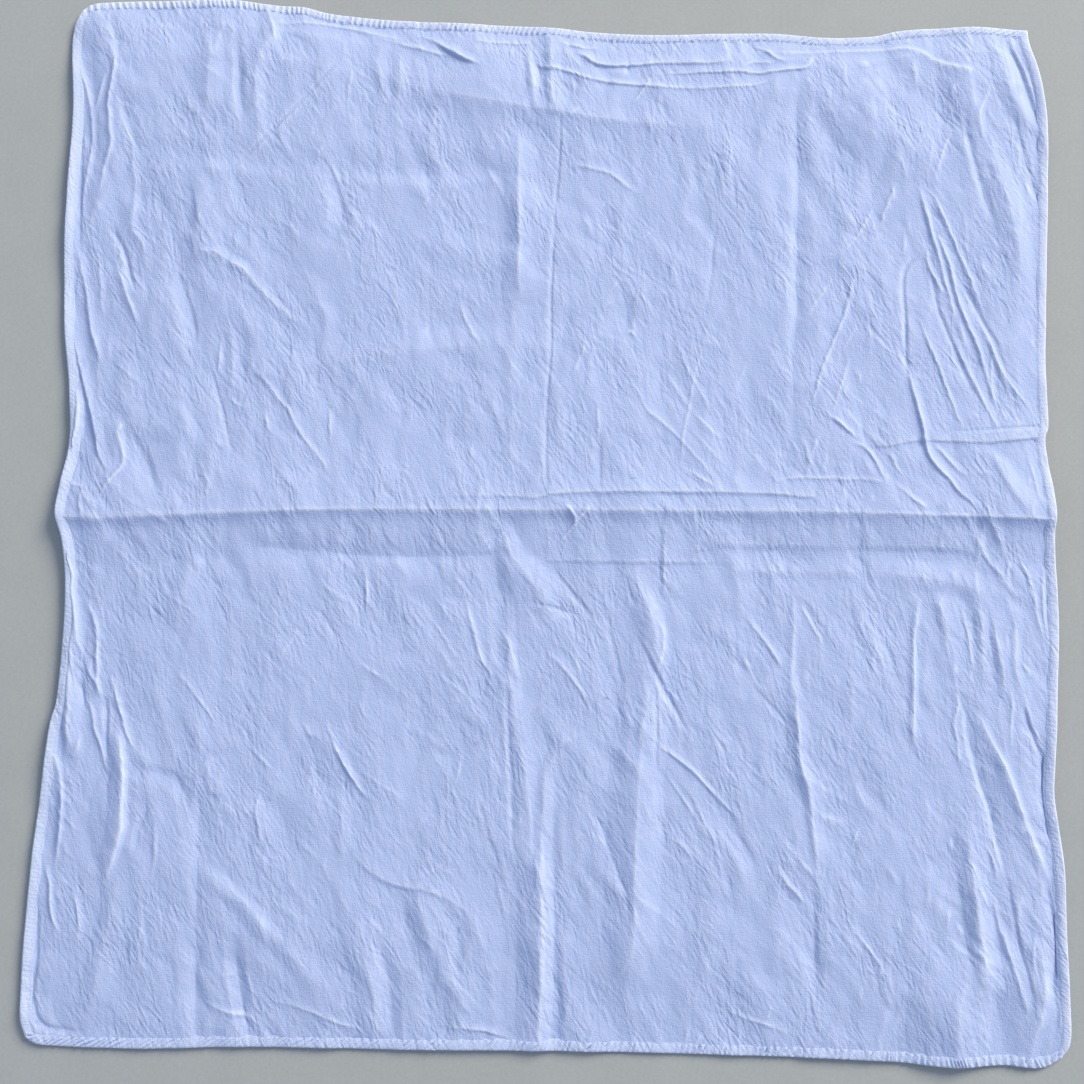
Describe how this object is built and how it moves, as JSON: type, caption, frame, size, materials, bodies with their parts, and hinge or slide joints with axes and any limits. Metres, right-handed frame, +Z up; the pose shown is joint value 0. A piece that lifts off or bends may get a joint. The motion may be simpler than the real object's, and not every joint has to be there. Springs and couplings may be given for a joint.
{
  "type": "bandana",
  "caption": "Square cotton bandana with a narrow turned hem, laid open and flat with ironed-in fold creases and crumpled side margins.",
  "frame": {"origin": "middle of the laid-out cloth, on the surface it rests on", "axes": "+Z up, out of the cloth's face; +Y away along its longer side; +X to the right, along the centre fold"},
  "size_m": [0.5508, 0.58, 0.0085],
  "materials": {
    "cotton": "matte plain weave"
  },
  "bodies": {
    "root": {"bandana_cloth": "cotton"}
  },
  "joints": []
}
